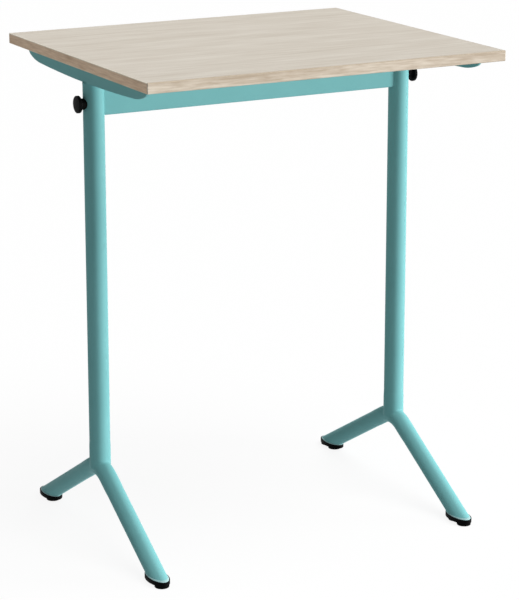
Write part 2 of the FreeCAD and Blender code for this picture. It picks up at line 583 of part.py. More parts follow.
def foot_cap(side, end):
    node = f"{end}_{side}_foot_cap"
    body = new_body(node)
    plug = body.newObject("PartDesign::AdditiveCylinder", f"{node}_plug")
    plug.Placement = Placement(Vector(), Rotation(Vector(-1, 0, 0), QUARTER_TURN))
    plug.setExpression("Placement.Rotation.Angle", f"({QUARTER_TURN} - Sizes.leg_angle) * 1 deg")
    plug.setExpression("Placement.Base.y", "-Sizes.leg_diameter * cos(Sizes.leg_angle)")
    plug.setExpression("Placement.Base.z", "Sizes.foot_height - Sizes.leg_diameter * sin(Sizes.leg_angle)")
    plug.setExpression("Radius", "Sizes.leg_diameter / 2 - Sizes.leg_wall - Sizes.plug_gap")
    plug.setExpression("Height", "Sizes.leg_diameter + Sizes.plug_length")
    block(body, "Subtractive", f"{node}_level",
          ("-Sizes.leg_diameter", f"-{OVAL_LENGTH}", "-Sizes.leg_diameter"),
          ("Sizes.leg_diameter", OVAL_LENGTH, "Sizes.foot_height"))

    oval = sketch_on(body, "XY_Plane", f"{node}_oval", {"z": "Sizes.pad_height"})
    long_apex, short_apex = Vector(0, value_of(OVAL_LENGTH) / 2), Vector(value_of(OVAL_WIDTH) / 2, 0)
    ellipse = oval.addGeometry(Part.Ellipse(long_apex, short_apex, Vector()))
    oval.exposeInternalGeometry(ellipse)
    long_axis, short_axis = ellipse + 1, ellipse + 2
    tie(oval, "Coincident", ellipse, 3, -1, 1)
    tie(oval, "Vertical", long_axis)
    dimension(oval, "oval_length", OVAL_LENGTH, "Distance", long_axis)
    dimension(oval, "oval_width", OVAL_WIDTH, "Distance", short_axis)
    flange = pad(body, oval, f"{node}_flange", "Sizes.foot_height - Sizes.pad_height")
    lower_rim = value_of("Sizes.pad_height")

    def lower_edge(box):
        return same(box.ZMin, lower_rim) and same(box.ZMax, lower_rim)

    fillet(body, flange, f"{node}_rim", "Sizes.foot_edge_round", lower_edge)
    for y in PAD_YS.values():
        rod(body, "Subtractive", f"{node}_peg_hole", "Z", ("0", y, "Sizes.pad_height - Sizes.overrun"),
            "Sizes.peg_diameter", "Sizes.peg_length + Sizes.overrun")
    stand_on_foot(body, side, end)


def glide_pad(side, end, place, y):
    node = f"{end}_{side}_{place}_pad"
    body = new_body(node)
    disc = rod(body, "Additive", f"{node}_disc", "Z", ("0", y, "0"), "Sizes.pad_diameter", "Sizes.pad_height")

    def floor_edge(box):
        return same(box.ZMin, 0) and same(box.ZMax, 0)

    fillet(body, disc, f"{node}_rim", "Sizes.pad_round", floor_edge)
    rod(body, "Additive", f"{node}_peg", "Z", ("0", y, "Sizes.pad_height"), "Sizes.peg_diameter",
        "Sizes.peg_length")
    stand_on_foot(body, side, end)


# Build every piece

board_layer("board_core", LAMINATE_TOP, CORE_TOP,
            drilled_to=f"({UNDERSIDE} + Sizes.screw_bite + Sizes.pilot_spare)")
board_layer("top_laminate", CORE_TOP, "Sizes.desk_height")
board_layer("bottom_laminate", UNDERSIDE, LAMINATE_TOP, drilled_to=f"({LAMINATE_TOP} + Sizes.overrun)")
long_band("front_edge_band", f"-{BOARD_Y}", f"-{CORE_Y}", f"-{BOARD_Y}")
long_band("rear_edge_band", CORE_Y, BOARD_Y, BOARD_Y)
short_band("left_edge_band", f"-{BOARD_X}", f"-{CORE_X}", f"-{BOARD_X}")
short_band("right_edge_band", CORE_X, BOARD_X, BOARD_X)
cross_rail()
for side in ("left", "right"):
    bearer(side)
    board_screws(side)
    upright(side)
    leg_bow(side)
    rail_insert(side)
    bag_hook(side)
    hook_stud(side)
    for end in ("front", "rear"):
        foot_cap(side, end)
        for place, y in PAD_YS.items():
            glide_pad(side, end, place, y)
doc.recompute()

# Check everything, then write one file for each piece

for thing in doc.Objects:
    if "Invalid" in thing.State or "Error" in thing.State:
        raise RuntimeError(f"{thing.Label} failed: {thing.State}")
for piece in pieces:
    if piece.Shape.isNull() or not piece.Shape.isValid() or not piece.Shape.Solids:
        raise RuntimeError(f"{piece.Label} has no valid solid")

os.makedirs("parts", exist_ok=True)
for piece in pieces:
    piece.Shape.exportStep(f"parts/{piece.Label}.step")
    print(f"{piece.Label}: {len(piece.Shape.Solids)} solid(s), {piece.Shape.Volume / CUBIC_MM_IN_CM:.2f} cm3")
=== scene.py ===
# %% [markdown]
# # A standing desk, dressed over its construction model
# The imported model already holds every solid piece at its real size: the board with its laminates and edge
# bands, the tube frame, the hooks and the feet. This lesson gives each of them its finish, adds the small
# things that welding and paint leave behind, and sets up the light and the camera. All lengths are metres.

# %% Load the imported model
import math

import bpy
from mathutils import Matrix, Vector


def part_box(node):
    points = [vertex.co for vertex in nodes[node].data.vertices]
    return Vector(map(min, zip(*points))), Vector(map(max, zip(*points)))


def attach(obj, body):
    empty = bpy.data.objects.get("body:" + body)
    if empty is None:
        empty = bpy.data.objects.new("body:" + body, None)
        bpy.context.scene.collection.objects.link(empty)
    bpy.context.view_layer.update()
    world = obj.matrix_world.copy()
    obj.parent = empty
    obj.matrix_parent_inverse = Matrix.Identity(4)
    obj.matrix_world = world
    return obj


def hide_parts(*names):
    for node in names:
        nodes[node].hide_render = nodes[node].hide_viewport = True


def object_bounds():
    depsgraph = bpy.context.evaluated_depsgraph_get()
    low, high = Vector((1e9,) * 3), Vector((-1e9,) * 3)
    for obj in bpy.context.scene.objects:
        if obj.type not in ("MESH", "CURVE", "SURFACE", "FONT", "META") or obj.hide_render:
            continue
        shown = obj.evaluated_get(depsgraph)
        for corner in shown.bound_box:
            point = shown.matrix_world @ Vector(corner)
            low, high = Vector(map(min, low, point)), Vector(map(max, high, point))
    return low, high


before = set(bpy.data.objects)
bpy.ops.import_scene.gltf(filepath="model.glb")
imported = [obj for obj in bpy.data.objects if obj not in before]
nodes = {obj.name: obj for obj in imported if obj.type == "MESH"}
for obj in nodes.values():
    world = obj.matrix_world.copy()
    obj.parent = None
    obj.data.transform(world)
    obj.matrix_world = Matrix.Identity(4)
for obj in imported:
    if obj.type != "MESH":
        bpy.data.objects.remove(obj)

MM = 0.001
cad_low, cad_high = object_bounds()
print(f"{len(nodes)} pieces, {cad_high.z / MM:.0f} mm high")

# %% [markdown]
# ## The camera
# A long lens stands about four metres away, to the left of the front, and looks down a little. Blender gives
# a lens in millimetres for its sensor, so a focal length measured in pixels of the picture is turned into
# millimetres with the longer side of the picture. The picture is cropped more tightly above the desk than
# below it, so the middle of the lens lies above the middle of the picture: a small vertical shift.

# %% Camera
PICTURE_WIDTH = 519
PICTURE_HEIGHT = 600
LONG_SIDE = max(PICTURE_WIDTH, PICTURE_HEIGHT)
FOCAL_PIXELS = 2213.3
LENS_MIDDLE_PIXEL = 238.0
SENSOR_WIDTH = 36.0
CAMERA_PLACE = (-1.8574, -3.5111, 1.5320)
CAMERA_YAW = math.radians(28.090)
CAMERA_PITCH = math.radians(14.115)

bpy.ops.object.camera_add(location=CAMERA_PLACE, rotation=(math.pi / 2 - CAMERA_PITCH, 0, -CAMERA_YAW))
camera = bpy.context.object
camera.data.sensor_width = SENSOR_WIDTH
camera.data.lens = FOCAL_PIXELS * SENSOR_WIDTH / LONG_SIDE
camera.data.shift_y = (LENS_MIDDLE_PIXEL - PICTURE_HEIGHT / 2) / LONG_SIDE
bpy.context.scene.camera = camera
print(f"lens {camera.data.lens:.1f} mm, shift {camera.data.shift_y:.3f}")

# %% [markdown]
# ## Shader maths
# A finish is a small calculation that runs at every point of a surface. Blender writes it as nodes and links.
# The class below wraps one socket, so that a sum such as `1 - mask * 0.3` adds its own Math nodes, and one
# method adds any other kind of node. Settings go in first, because they decide which sockets a node has.

# %% A socket that can be used in sums
class Wire:
    """One output socket of a node tree."""

    def __init__(self, tree, socket=None):
        self.tree = tree
        self.socket = socket

    def node(self, kind, inputs, output=0, **settings):
        """A new node with its settings, then its inputs by name or number. Gives one of its outputs."""
        made = self.tree.nodes.new("ShaderNode" + kind)
        for name, value in settings.items():
            setattr(made, name, value)
        for name, value in inputs.items():
            if isinstance(value, Wire):
                self.tree.links.new(value.socket, made.inputs[name])
            else:
                made.inputs[name].default_value = value
        return Wire(self.tree, made.outputs[output] if made.outputs else None)

    def math(self, operation, first, second):
        return self.node("Math", {0: first, 1: second}, operation=operation)

    def __add__(self, other):
        return self.math("ADD", self, other)

    def __sub__(self, other):
        return self.math("SUBTRACT", self, other)

    def __rsub__(self, other):
        return self.math("SUBTRACT", other, self)

    def __mul__(self, other):
        return self.math("MULTIPLY", self, other)

    __radd__ = __add__
    __rmul__ = __mul__


print("sums of sockets ready")

# %% [markdown]
# ## The parts of every finish
# All the finishes of this desk are made of the same few steps: cloudy noise, stretched to the size of what is
# drawn, a slope that turns noise into a mask, a mix of two colours, and one shader at the end with a bump. So
# each step is written once. Colours are given as on a paint chart, which is easier to compare by eye.

# %% Steps of a finish
MIX_SHARE, MIX_FIRST, MIX_SECOND, MIX_COLOUR = 0, 6, 7, 2


def new_finish(name):
    """An empty material, and a wire that adds nodes to it."""
    material = bpy.data.materials.new(name)
    material.use_nodes = True
    material.node_tree.nodes.clear()
    return material, Wire(material.node_tree)


def noise(wire, waves, detail=2.0, at=None):
    """Cloudy values from 0 to 1. waves is how many clouds there are to a metre along X, Y and Z."""
    point = at or wire.node("TexCoord", {}, "Object")
    point = wire.node("Mapping", {"Vector": point, "Scale": waves})
    return wire.node("TexNoise", {"Vector": point, "Scale": 1.0, "Detail": detail})


def rise(wire, value, low, high):
    """0 below low, 1 above high, with an even slope between them."""
    return wire.node("MapRange", {"Value": value, "From Min": low, "From Max": high}, clamp=True)


def mixed(wire, share, first, second):
    """A colour between two colours."""
    inputs = {MIX_SHARE: share, MIX_FIRST: first, MIX_SECOND: second}
    return wire.node("Mix", inputs, MIX_COLOUR, data_type="RGBA")


def painted(wire, height, depth, **sockets):
    """The shader at the end of a finish, with a bump of that depth from height."""
    inputs = {name.replace("_", " "): value for name, value in sockets.items()}
    inputs["Normal"] = wire.node("Bump", {"Height": height, "Distance": depth})
    wire.node("OutputMaterial", {"Surface": wire.node("BsdfPrincipled", inputs)})


def srgb(red, green, blue):
    """A colour as a paint chart gives it, from 0 to 255, as the linear colour that shaders use."""
    def linear(value):
        value = value / 255
        return value / 12.92 if value <= 0.04045 else ((value + 0.055) / 1.055) ** 2.4
    return linear(red), linear(green), linear(blue), 1.0


def dress(piece, material):
    """Give a piece one finish."""
    piece.data.materials.clear()
    piece.data.materials.append(material)


print("steps of a finish ready")

# %% [markdown]
# ## The oak print
# The board is covered with a laminate that carries a pale, whitened oak print. It has broad soft bands, finer
# streaks and very fine fibres, all drawn out along the grain, and short dark pores. Noise that is stretched
# along one axis gives each of these, and a little low noise added to the place first keeps them from running
# dead straight. An image of oak would repeat on a board of this size, and noise doesn't.

# %% Oak recipe
ROUNDING = 1.5 * MM
RIM_FADE = (1.4 * ROUNDING, 0.8 * ROUNDING)
SWAY = 18 * MM
SWAY_WAVES = (2.2, 2.2, 2.2)
BAND = (280 * MM, 32 * MM)
FIBRE = (30 * MM, 0.8 * MM)
PORE = (16 * MM, 0.45 * MM)
PORE_EDGE = (0.62, 0.74)
PORE_STRENGTH = 0.2
PRINT_DEPTH = 0.05 * MM
OAK_ROUGHNESS = 0.5
OAK_SHINE = 0.3


def oak(name, pale, dark, along, streak, contrast, rim=None):
    """An oak print with its grain along X or Y. streak is a streak's length and width, rim the colour of a
    band's rounding at the top: a dark joint line, and on the left band a painted highlight."""
    material, wire = new_finish(name)
    place = wire.node("TexCoord", {}, "Object")
    sway = (noise(wire, SWAY_WAVES, 1.0) - 0.5) * SWAY
    shift = wire.node("CombineXYZ", {"X": sway, "Y": sway, "Z": 0.0})
    swayed = wire.node("VectorMath", {0: place, 1: shift}, operation="ADD")

    def grained(size, detail):
        length, width = size
        waves = (1 / length, 1 / width, 1 / width) if along == "X" else (1 / width, 1 / length, 1 / width)
        return noise(wire, waves, detail, swayed)

    bands = grained(BAND, 2.0)
    streaks = grained(streak, 3.0)
    fibres = grained(FIBRE, 2.0)
    pores = rise(wire, grained(PORE, 1.0), *PORE_EDGE)
    tone = (bands - 0.5) * 1.1 + (streaks - 0.5) * 1.4 + (fibres - 0.5) * 0.4
    share = rise(wire, tone * contrast + pores * (PORE_STRENGTH * contrast), -0.5, 0.5)
    colour = mixed(wire, share, pale, dark)
    # The rim colour lies on the top of a band's rounding: a dark joint line on most bands, a painted
    # highlight on the left band.
    if rim:
        height = wire.node("SeparateXYZ", {"Vector": place}, "Z")
        on_rim = rise(wire, height, cad_high.z - RIM_FADE[0], cad_high.z - RIM_FADE[1])
        colour = mixed(wire, on_rim, colour, rim)
    painted(wire, fibres * 0.4 - pores, PRINT_DEPTH,
            Base_Color=colour,
            Roughness=OAK_ROUGHNESS + fibres * 0.1 + pores * 0.1,
            Specular_IOR_Level=OAK_SHINE)
    return material


print("oak recipe ready")

# %% [markdown]
# ## Oak on the board
# The faces are whitened. The edge bands carry the same print with shorter, stronger streaks, and the side
# bands run from front to back. The rounding at the top of a band has its own tone: a darker joint line shows
# along the front, and on the left band a pale painted highlight stands there. The left band's colours are
# painted lighter and warmer than the right band's, for the shade that falls on the left side: painted
# light. So the recipe is mixed four times.

# %% Oak finishes
BOARD_STREAK = (110 * MM, 10 * MM)
EDGE_STREAK = (40 * MM, 3.5 * MM)
BOARD_CONTRAST = 1.1
EDGE_CONTRAST = 1.5
EDGE_PALE, EDGE_DARK, EDGE_JOINT = srgb(201, 190, 174), srgb(164, 148, 128), srgb(172, 158, 138)

oak_top = oak("oak_laminate_finish", srgb(217, 210, 198), srgb(198, 188, 173), "X",
              BOARD_STREAK, BOARD_CONTRAST)
oak_long_edge = oak("oak_long_edge_finish", EDGE_PALE, EDGE_DARK, "X",
                    EDGE_STREAK, EDGE_CONTRAST, rim=EDGE_JOINT)
# The left band gets painted light: colours lighter and warmer than the right band's, for the shade on that
# side, and a painted highlight on its rounding.
oak_left_edge_painted_light = oak("oak_short_edge_finish", srgb(242, 213, 182), srgb(205, 173, 140), "Y",
                     EDGE_STREAK, EDGE_CONTRAST, rim=srgb(240, 232, 214))
oak_right_edge = oak("oak_right_edge_finish", EDGE_PALE, EDGE_DARK, "Y",
                     EDGE_STREAK, EDGE_CONTRAST, rim=EDGE_JOINT)
for node, material in (
    ("top_laminate", oak_top), ("bottom_laminate", oak_top),
    ("front_edge_band", oak_long_edge), ("rear_edge_band", oak_long_edge),
    ("left_edge_band", oak_left_edge_painted_light), ("right_edge_band", oak_right_edge),
):
    dress(nodes[node], material)
print("oak on the board's faces and edges")

# %% [markdown]
# ## The powder coat
# The frame has a satin turquoise powder coat. The powder melts into a skin with a faint peel, a millimetre or
# two from crest to crest, and its colour wanders very slightly where the skin is thicker. The cut rims of the
# legs get the same recipe a second time with a paler colour: a painted highlight, for the light that the
# rolled edge catches above the foot.

# %% Powder coat
PEEL_WAVES = (650, 650, 650)
POWDER_WAVES = (2400, 2400, 2400)
CLOUD_WAVES = (14, 14, 14)
PEEL_DEPTH = 0.05 * MM
COAT_ROUGHNESS = 0.45
COAT_SHINE = 0.05


def powder_coat(name, pale, deep):
    """A painted skin between two close colours."""
    material, wire = new_finish(name)
    peel = noise(wire, PEEL_WAVES, 1.5)
    grain = noise(wire, POWDER_WAVES, 1.0)
    cloud = noise(wire, CLOUD_WAVES, 3.0)
    share = rise(wire, cloud * 0.8 + peel * 0.2, 0.3, 0.7)
    painted(wire, peel + grain * 0.3, PEEL_DEPTH,
            Base_Color=mixed(wire, share, pale, deep),
            Roughness=COAT_ROUGHNESS + grain * 0.1,
            Specular_IOR_Level=COAT_SHINE)
    return material


frame_paint = powder_coat("frame_paint_finish", srgb(118, 180, 182), srgb(114, 176, 178))
# The rims' paler colour is a painted highlight along the rolled edge.
rim_highlight_paint = powder_coat("rim_paint_finish", srgb(168, 203, 204), srgb(150, 188, 190))
FRAME_NODES = ["cross_rail"]
for side in ("left", "right"):
    FRAME_NODES += [f"{side}_bearer", f"{side}_upright", f"{side}_leg_bow"]
for node in FRAME_NODES:
    dress(nodes[node], frame_paint)
print(f"powder coat on {len(FRAME_NODES)} pieces")

# %% [markdown]
# ## Moulded plastic and rubber
# The hooks and foot caps are black mouldings with a fine spark-eroded skin, and the glide pads are black hard
# rubber, which is coarser and duller. Black is never quite black, so it is mixed of two very dark greys.

# %% Black mouldings
PLASTIC_SKIN = (2800, 2800, 2800)
RUBBER_SKIN = (1600, 1600, 1600)
HANDLED_WAVES = (60, 60, 60)
SKIN_DEPTH = 0.04 * MM
SKIN_SHINE = 0.025


def moulded(name, colour, worn, skin, roughness):
    """A moulded black skin, a little paler where the moulding is rough."""
    material, wire = new_finish(name)
    fine = noise(wire, skin, 2.0)
    cloud = noise(wire, HANDLED_WAVES, 2.0)
    painted(wire, fine, SKIN_DEPTH,
            Base_Color=mixed(wire, fine * 0.5 + cloud * 0.5, colour, worn),
            Roughness=roughness + cloud * 0.15,
            Specular_IOR_Level=SKIN_SHINE)
    return material


black_plastic = moulded("black_plastic_finish", srgb(5, 5, 6), srgb(14, 14, 15), PLASTIC_SKIN, 0.42)
glide_rubber = moulded("glide_rubber_finish", srgb(5, 5, 5), srgb(13, 13, 13), RUBBER_SKIN, 0.6)
for node, thing in nodes.items():
    if node.endswith(("bag_hook", "foot_cap")):
        dress(thing, black_plastic)
    elif node.endswith("pad"):
        dress(thing, glide_rubber)
print("black on the hooks, foot caps and glide pads")

# %% [markdown]
# ## Plated steel and particle board
# The screws, studs and inserts are zinc plated and keep faint marks from turning, which run round the piece,
# so the noise is drawn thin along Z. The core of the board is pressed wood chips and is covered on every
# side. It gets its finish all the same, because the desk may be shown taken apart.

# %% Hidden finishes
TURNING_WAVES = (300, 300, 2600)
TURNING_DEPTH = 0.02 * MM
ZINC_ROUGHNESS = 0.28
CHIP_WAVES = (180, 260, 700)
CHIP_DEPTH = 0.2 * MM
CHIP_ROUGHNESS = 0.8


def plated(name, pale, dark):
    """Zinc plating with faint turning marks."""
    material, wire = new_finish(name)
    marks = noise(wire, TURNING_WAVES, 2.0)
    painted(wire, marks, TURNING_DEPTH,
            Base_Color=mixed(wire, marks, pale, dark),
            Roughness=ZINC_ROUGHNESS + marks * 0.2,
            Metallic=1.0)
    return material


def chipboard(name, pale, dark):
    """Pressed wood chips, a few millimetres long."""
    material, wire = new_finish(name)
    chips = noise(wire, CHIP_WAVES, 3.0)
    painted(wire, chips, CHIP_DEPTH,
            Base_Color=mixed(wire, rise(wire, chips, 0.35, 0.65), pale, dark),
            Roughness=CHIP_ROUGHNESS + chips * 0.1)
    return material


zinc = plated("zinc_finish", srgb(205, 206, 205), srgb(170, 171, 172))
core_chips = chipboard("core_chips_finish", srgb(196, 168, 128), srgb(150, 116, 78))
for node, thing in nodes.items():
    if node.endswith(("screws", "stud", "insert")):
        dress(thing, zinc)
dress(nodes["board_core"], core_chips)
print("zinc on the small steel pieces, chips in the board")

# %% [markdown]
# ## Working by hand, in code
# The next pieces are modelled with the same tools as in Blender's window. A primitive is added where it is
# needed, some of its points are selected, and a tool acts on what is selected. The helpers below stand for
# the clicks: they select points by their place, draw a ring of edges out and apply a modifier.

# %% Helpers for shaping
def deselect_all():
    bpy.ops.object.select_all(action="DESELECT")


def select_points(piece, wanted):
    """Go to edit mode with just those points selected whose place passes the test."""
    bpy.ops.object.mode_set(mode="EDIT")
    bpy.ops.mesh.select_mode(type="VERT")
    bpy.ops.mesh.select_all(action="DESELECT")
    bpy.ops.object.mode_set(mode="OBJECT")
    for point in piece.data.vertices:
        point.select = wanted(piece.matrix_world @ point.co)
    bpy.ops.object.mode_set(mode="EDIT")


def extrude_ring(step, scale, centre):
    """Extrude the selected ring of edges by a step, and scale the new ring about its own centre."""
    bpy.ops.mesh.extrude_edges_move(TRANSFORM_OT_translate={"value": step})
    bpy.ops.transform.resize(value=scale, center_override=centre)


def extrude_face(step, scale, centre):
    """Extrude the selected face by a step, and scale the new face about a centre."""
    bpy.ops.mesh.extrude_region_move(TRANSFORM_OT_translate={"value": step})
    bpy.ops.transform.resize(value=scale, center_override=centre)


def apply_modifier(piece, kind, **settings):
    modifier = piece.modifiers.new(kind.lower(), kind)
    for name, value in settings.items():
        setattr(modifier, name, value)
    bpy.ops.object.modifier_apply(modifier=modifier.name)


print("helpers for shaping ready")

# %% [markdown]
# ## Copies, and handing a piece over
# The desk is the same on the left and the right, and at the front and the rear. So a piece that repeats is
# modelled once, and each copy gets a mesh of its own. A half turn about the desk's upright axis takes the
# left side to the right, and it keeps the faces pointing outwards, which a mirror would not. A finished piece
# has its place in its mesh and its object at the origin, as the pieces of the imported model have.

# %% Helpers for finished pieces
def settle():
    """Put the place, turn and size of the active object into its mesh."""
    bpy.ops.object.transform_apply(location=True, rotation=True, scale=True)


def join_pieces(first, *others):
    """Make several objects one object, at the origin."""
    deselect_all()
    for piece in (first, *others):
        piece.select_set(True)
    bpy.context.view_layer.objects.active = first
    bpy.ops.object.join()
    settle()
    return first


def copy_piece(piece, step=(0, 0, 0), turned=False):
    """A copy with a mesh of its own, moved by a step or turned half round about the desk's upright axis."""
    deselect_all()
    piece.select_set(True)
    bpy.context.view_layer.objects.active = piece
    bpy.ops.object.duplicate(linked=False)
    if turned:
        bpy.ops.transform.rotate(value=math.pi, orient_axis="Z", center_override=(0, 0, 0))
    bpy.ops.transform.translate(value=step)
    settle()
    return bpy.context.object


def hand_over(piece, name, material):
    """Name a finished piece, give it its finish, and let it ride on the desk's one body."""
    piece.name = name
    dress(piece, material)
    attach(piece, "root")
    print(f"{name}: {len(piece.data.polygons)} faces")


print("helpers for finished pieces ready")

# %% [markdown]
# ## Measures of the frame
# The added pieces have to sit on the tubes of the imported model, so their radii and places are read from the
# boxes of those tubes and aren't typed in. Only what a box can't tell, such as the legs' slope, is given.

# %% Measures
LEG_ANGLE = math.radians(30)
BEND_RADIUS = 70 * MM


def middle_of(node):
    """A node's middle, and half of its size."""
    low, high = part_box(node)
    return (low + high) / 2, (high - low) / 2


upright_middle, upright_half = middle_of("left_upright")
bow_middle, bow_half = middle_of("left_leg_bow")
UPRIGHT_RADIUS = upright_half.x
LEG_RADIUS = bow_half.x
LEG_CUT = bow_middle.z - bow_half.z
BOW_TOP = bow_middle.z + bow_half.z - LEG_RADIUS
print(f"radii {UPRIGHT_RADIUS / MM:.1f} and {LEG_RADIUS / MM:.1f} mm, bow axis {BOW_TOP / MM:.1f} mm up")

# %% [markdown]
# ## The weld under each upright: the bow
# The upright is welded to its leg bow all round. The bead is ground and painted over, so the two tubes run
# into each other in a soft hollow with no line to see. Booleans give a sharp corner, so the sleeve is made
# as a modeller in clay would make it, of tubes that are melted together. The first is the top of the bow: a
# circle is spun round the bend, drawn on down the leg, and mirrored to the rear. It starts a little proud,
# because smoothing shrinks a round form, and its ends dip under the tube.

# %% The bow's top
WELD_PROUD = 0.55 * MM
WELD_SINK = 0.5 * MM
SLEEVE_RUN = 26 * MM
SLEEVE_TAPER = 20 * MM
BOW_SIDES = 48
BEND_STEPS = 8
MERGE_DISTANCE = 0.01 * MM
SAME_SIZE = (1, 1, 1)


def bow_sleeve(x):
    """The top of a bow with the start of both legs."""
    radius = LEG_RADIUS + WELD_PROUD
    deselect_all()
    bpy.ops.mesh.primitive_circle_add(vertices=BOW_SIDES, radius=radius, location=(x, 0, BOW_TOP),
                                      rotation=(math.pi / 2, 0, 0), enter_editmode=True)
    piece = bpy.context.object
    bend_centre = Vector((x, 0, BOW_TOP - BEND_RADIUS))
    bpy.ops.mesh.spin(steps=BEND_STEPS, angle=-LEG_ANGLE, center=bend_centre, axis=(1, 0, 0))
    along = Vector((0, -math.cos(LEG_ANGLE), -math.sin(LEG_ANGLE)))
    knee = bend_centre + Vector((0, -math.sin(LEG_ANGLE), math.cos(LEG_ANGLE))) * BEND_RADIUS
    narrow = (LEG_RADIUS - WELD_SINK) / radius
    sleeve_end = knee + along * SLEEVE_RUN
    extrude_ring(along * SLEEVE_RUN, SAME_SIZE, sleeve_end)
    extrude_ring(along * SLEEVE_TAPER, (narrow, narrow, narrow), sleeve_end + along * SLEEVE_TAPER)
    bpy.ops.mesh.edge_face_add()
    bpy.ops.object.mode_set(mode="OBJECT")
    settle()
    apply_modifier(piece, "MIRROR", use_axis=(False, True, False), merge_threshold=MERGE_DISTANCE)
    return piece


left_bow_sleeve = bow_sleeve(upright_middle.x)
print(f"bow sleeve: {len(left_bow_sleeve.data.polygons)} faces")

# %% [markdown]
# ## The weld under each upright: the column
# The other part of the weld is the foot of the upright. It starts as a cylinder on the bow, and its upper
# face is drawn on and made smaller, so that it dips under the tube above.

# %% The column's foot
COLUMN_SIDES = 64


def column_sleeve(x):
    """The foot of an upright, closed at both ends."""
    radius = UPRIGHT_RADIUS + WELD_PROUD
    length = LEG_RADIUS + SLEEVE_RUN
    deselect_all()
    bpy.ops.mesh.primitive_cylinder_add(vertices=COLUMN_SIDES, radius=radius, depth=length,
                                        location=(x, 0, BOW_TOP + length / 2))
    piece = bpy.context.object
    top = BOW_TOP + length
    select_points(piece, lambda place: place.z > top - MM)
    narrow = (UPRIGHT_RADIUS - WELD_SINK) / radius
    extrude_face((0, 0, SLEEVE_TAPER), (narrow, narrow, 1), (x, 0, top + SLEEVE_TAPER))
    bpy.ops.object.mode_set(mode="OBJECT")
    return piece


left_column_sleeve = column_sleeve(upright_middle.x)
print(f"column sleeve: {len(left_column_sleeve.data.polygons)} faces")

# %% [markdown]
# ## The weld under each upright: melting
# A voxel remesh wraps one even skin round all that overlaps, and smoothing then wears the inner corners down
# to a hollow, as filler would. The voxels are just under a millimetre: larger ones would show as steps on the
# tubes, and smaller ones would only make the mesh heavy.

# %% Leg welds
WELD_VOXEL = 0.9 * MM
WELD_PASSES = 55


def melt(piece, voxel, passes):
    """Melt overlapping closed shapes into one skin and smooth it."""
    apply_modifier(piece, "REMESH", mode="VOXEL", voxel_size=voxel)
    apply_modifier(piece, "SMOOTH", factor=0.5, iterations=passes)
    bpy.ops.object.shade_smooth()


left_weld = join_pieces(left_bow_sleeve, left_column_sleeve)
melt(left_weld, WELD_VOXEL, WELD_PASSES)
right_weld = copy_piece(left_weld, turned=True)
hand_over(left_weld, "left_leg_weld", frame_paint)
hand_over(right_weld, "right_leg_weld", frame_paint)

# %% [markdown]
# ## The weld at the top of each upright: the tube
# The bearer's web lies in a notch on the outer side of the upright, and a bead runs along the tube's cut edge
# under it. The bead is melted in the same way, from the tube's end and a short block of the web. The tube's
# end leans outwards by a hair, so that it is proud only on the outer side, where the bead is.

# %% The tube's end
WEB_DEPTH = 29 * MM
BEAD_PROUD = 0.35 * MM
BEAD_SINK = 0.4 * MM
STUB_LENGTH = 18 * MM


def tube_end(x, level):
    """The top of the left upright up to the notch, leaning outwards, its lower end dipping into the tube."""
    middle = level - STUB_LENGTH / 2
    deselect_all()
    bpy.ops.mesh.primitive_cylinder_add(vertices=COLUMN_SIDES, radius=UPRIGHT_RADIUS, depth=STUB_LENGTH,
                                        location=(x, 0, middle))
    piece = bpy.context.object
    narrow = (UPRIGHT_RADIUS - BEAD_SINK) / UPRIGHT_RADIUS
    select_points(piece, lambda place: place.z < middle)
    bpy.ops.transform.resize(value=(narrow, narrow, 1), center_override=(x, 0, level))
    select_points(piece, lambda place: place.z > middle)
    bpy.ops.transform.translate(value=(-BEAD_PROUD, 0, BEAD_PROUD))
    bpy.ops.object.mode_set(mode="OBJECT")
    return piece


bearer_low, bearer_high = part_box("left_bearer")
notch = bearer_high.z - WEB_DEPTH
left_tube_end = tube_end(upright_middle.x, notch)
print(f"notch at {notch / MM:.1f} mm")

# %% [markdown]
# ## The weld at the top of each upright: the web
# The block of the web starts as a cube of the web's thickness. Its top and its two ends are extruded and made
# thinner, so that the bead runs out under the web's own faces and leaves no step.

# %% The block of the web, and the bearer welds
WEB_THICKNESS = 4 * MM
BLOCK_HALF_LENGTH = 17 * MM
BLOCK_HEIGHT = 5 * MM
BLOCK_TAPER = 12 * MM
BEAD_VOXEL = 0.7 * MM
BEAD_PASSES = 14


def web_block(x, level):
    """A short stretch of the web above the tube, thinner at its ends and its top, where it dips under."""
    thick = WEB_THICKNESS + 2 * BEAD_PROUD
    thin = ((WEB_THICKNESS - 2 * BEAD_SINK) / thick, 1, 1)
    deselect_all()
    bpy.ops.mesh.primitive_cube_add(size=1, location=(x, 0, level + BLOCK_HEIGHT / 2),
                                    scale=(thick, 2 * BLOCK_HALF_LENGTH, BLOCK_HEIGHT))
    piece = bpy.context.object
    top = level + BLOCK_HEIGHT
    select_points(piece, lambda place: place.z > top - MM)
    extrude_face((0, 0, BLOCK_TAPER), thin, (x, 0, top))
    for end in (-1, 1):
        face = end * BLOCK_HALF_LENGTH
        select_points(piece, lambda place: abs(place.y - face) < MM)
        extrude_face((0, end * BLOCK_TAPER, BEAD_SINK), thin, (x, 0, top))
    bpy.ops.object.mode_set(mode="OBJECT")
    return piece


left_bead = join_pieces(left_tube_end, web_block(bearer_low.x + WEB_THICKNESS / 2, notch))
melt(left_bead, BEAD_VOXEL, BEAD_PASSES)
right_bead = copy_piece(left_bead, turned=True)
hand_over(left_bead, "left_bearer_weld", frame_paint)
hand_over(right_bead, "right_bearer_weld", frame_paint)

